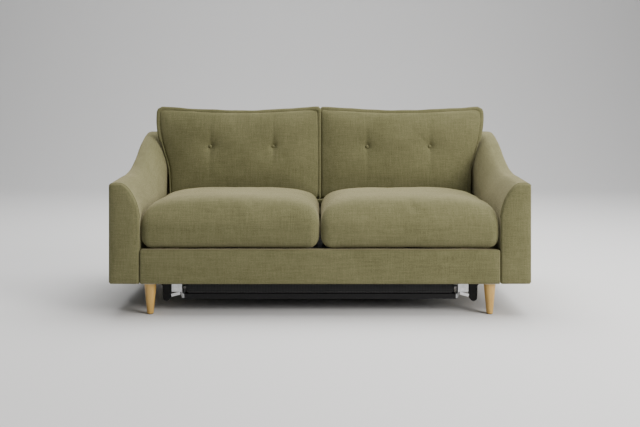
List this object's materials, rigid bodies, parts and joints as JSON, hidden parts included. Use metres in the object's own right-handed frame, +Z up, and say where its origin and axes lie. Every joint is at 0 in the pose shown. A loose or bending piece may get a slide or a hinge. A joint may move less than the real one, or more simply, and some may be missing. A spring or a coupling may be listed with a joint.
{
  "type": "sofa bed",
  "caption": "Upholstered sofa bed with sweeping arms, tapered wooden feet, loose cushions and a steel-framed bed that folds out over the front rail.",
  "frame": {"origin": "floor level, at the centre of the overall width and depth", "axes": "+X to the right in a front view, +Y from front to back, +Z up; the front faces -Y"},
  "size_m": [1.83, 0.942, 0.906],
  "materials": {
    "upholstery": "soft chenille weave",
    "mattress": "woven ticking",
    "webbing": "woven elastic",
    "deck": "woven polypropylene",
    "timber": "unfinished",
    "oak": "satin lacquer",
    "black_plastic": "moulded",
    "zinc_steel": "zinc plated",
    "bright_steel": "plated",
    "black_steel": "powder coat"
  },
  "bodies": {
    "sofa": {"action_side_plates": "black_steel", "action_stanchions": "black_steel", "arm_boards": "timber", "arm_cover_left": "upholstery", "arm_cover_right": "upholstery", "back_board": "timber", "back_cover": "upholstery", "back_webbing": "webbing", "corner_blocks": "timber", "foot_bolts": "bright_steel", "foot_front_left": "oak", "foot_front_right": "oak", "foot_glides": "black_plastic", "foot_plates": "bright_steel", "foot_rear_left": "oak", "foot_rear_right": "oak", "front_rail_beam": "timber", "front_rail_cover": "upholstery", "link_base_pins": "bright_steel", "rear_ledge_board": "timber", "rear_ledge_cover": "upholstery", "side_rails": "timber"},
    "front_link_left": {"front_lift_link_left": "zinc_steel"},
    "front_link_right": {"front_lift_link_right": "zinc_steel"},
    "rear_link_left": {"rear_lift_link_left": "zinc_steel"},
    "rear_link_right": {"rear_lift_link_right": "zinc_steel"},
    "head_section": {"head_frame": "black_steel", "head_deck": "deck", "head_mattress": "mattress", "head_brackets": "zinc_steel", "fold_pins": "bright_steel", "catch_straps": "zinc_steel", "head_pivot_pins": "bright_steel"},
    "middle_section": {"middle_frame": "black_steel", "middle_deck": "deck", "middle_mattress": "mattress", "middle_hinge_ears": "zinc_steel", "middle_leg_bolts": "bright_steel"},
    "foot_section": {"foot_frame": "black_steel", "foot_deck": "deck", "foot_mattress": "mattress", "foot_hinge_cheeks": "zinc_steel", "tip_pins": "bright_steel", "foot_leg_bolts": "bright_steel"},
    "seat_cushion_left": {"seat_cushion_left": "upholstery"},
    "seat_cushion_right": {"seat_cushion_right": "upholstery"},
    "back_cushion_left": {"back_cushion_left": "upholstery", "back_buttons_left": "upholstery"},
    "back_cushion_right": {"back_cushion_right": "upholstery", "back_buttons_right": "upholstery"},
    "middle_leg_left": {"middle_leg_left": "black_steel", "middle_leg_shoe_left": "black_plastic"},
    "middle_leg_right": {"middle_leg_right": "black_steel", "middle_leg_shoe_right": "black_plastic"},
    "foot_leg_left": {"foot_leg_left": "black_steel", "foot_leg_shoe_left": "black_plastic"},
    "foot_leg_right": {"foot_leg_right": "black_steel", "foot_leg_shoe_right": "black_plastic"}
  },
  "joints": [
    {"name": "bed_unfold", "type": "hinge", "parent": "sofa", "child": "front_link_left", "pos_m": [-0.663, -0.29398, 0.17538], "axis": [1, 0, 0], "range_deg": [0, 165]},
    {"name": "front_right_link_turn", "type": "hinge", "parent": "sofa", "child": "front_link_right", "pos_m": [0.663, -0.29398, 0.17538], "axis": [1, 0, 0], "range_deg": [0, 165.01]},
    {"name": "rear_left_link_turn", "type": "hinge", "parent": "sofa", "child": "rear_link_left", "pos_m": [-0.663, 0.08602, 0.17538], "axis": [1, 0, 0], "range_deg": [0, 165.01]},
    {"name": "rear_right_link_turn", "type": "hinge", "parent": "sofa", "child": "rear_link_right", "pos_m": [0.663, 0.08602, 0.17538], "axis": [1, 0, 0], "range_deg": [0, 165.01]},
    {"name": "head_section_swing", "type": "hinge", "parent": "front_link_left", "child": "head_section", "pos_m": [-0.663, -0.1672, 0.069], "axis": [1, 0, 0], "range_deg": [-165.01, 0]},
    {"name": "middle_section_fold", "type": "hinge", "parent": "head_section", "child": "middle_section", "pos_m": [0, -0.384, 0.133], "axis": [1, 0, 0], "range_deg": [0, 180.01]},
    {"name": "foot_section_fold", "type": "hinge", "parent": "middle_section", "child": "foot_section", "pos_m": [0, 0.196, 0.209], "axis": [1, 0, 0], "range_deg": [-180.01, 0]},
    {"name": "middle_leg_left_fold", "type": "hinge", "parent": "middle_section", "child": "middle_leg_left", "pos_m": [-0.644, 0.101, 0.197], "axis": [1, 0, 0], "range_deg": [-90.01, 0]},
    {"name": "middle_leg_right_fold", "type": "hinge", "parent": "middle_section", "child": "middle_leg_right", "pos_m": [0.644, 0.101, 0.197], "axis": [1, 0, 0], "range_deg": [-90.01, 0]},
    {"name": "foot_leg_left_fold", "type": "hinge", "parent": "foot_section", "child": "foot_leg_left", "pos_m": [-0.622, -0.364, 0.221], "axis": [1, 0, 0], "range_deg": [-90.01, 0]},
    {"name": "foot_leg_right_fold", "type": "hinge", "parent": "foot_section", "child": "foot_leg_right", "pos_m": [0.622, -0.364, 0.221], "axis": [1, 0, 0], "range_deg": [-90.01, 0]},
    {"name": "seat_cushion_left_lift", "type": "slide", "parent": "foot_section", "child": "seat_cushion_left", "axis": [0, 0, 1], "range_m": [0, 0.45]},
    {"name": "back_cushion_left_lift", "type": "slide", "parent": "sofa", "child": "back_cushion_left", "axis": [0, 0, 1], "range_m": [0, 0.45]},
    {"name": "seat_cushion_right_lift", "type": "slide", "parent": "foot_section", "child": "seat_cushion_right", "axis": [0, 0, 1], "range_m": [0, 0.45]},
    {"name": "back_cushion_right_lift", "type": "slide", "parent": "sofa", "child": "back_cushion_right", "axis": [0, 0, 1], "range_m": [0, 0.45]}
  ],
  "couplings": [
    {"joint": "front_right_link_turn", "follows": "bed_unfold", "ratio": 1},
    {"joint": "rear_left_link_turn", "follows": "bed_unfold", "ratio": 1},
    {"joint": "rear_right_link_turn", "follows": "bed_unfold", "ratio": 1},
    {"joint": "head_section_swing", "follows": "bed_unfold", "ratio": -1},
    {"joint": "middle_section_fold", "follows": "bed_unfold", "ratio": 1.0909},
    {"joint": "foot_section_fold", "follows": "bed_unfold", "ratio": -1.0909},
    {"joint": "middle_leg_left_fold", "follows": "bed_unfold", "ratio": -0.54545},
    {"joint": "middle_leg_right_fold", "follows": "bed_unfold", "ratio": -0.54545},
    {"joint": "foot_leg_left_fold", "follows": "bed_unfold", "ratio": -0.54545},
    {"joint": "foot_leg_right_fold", "follows": "bed_unfold", "ratio": -0.54545}
  ]
}
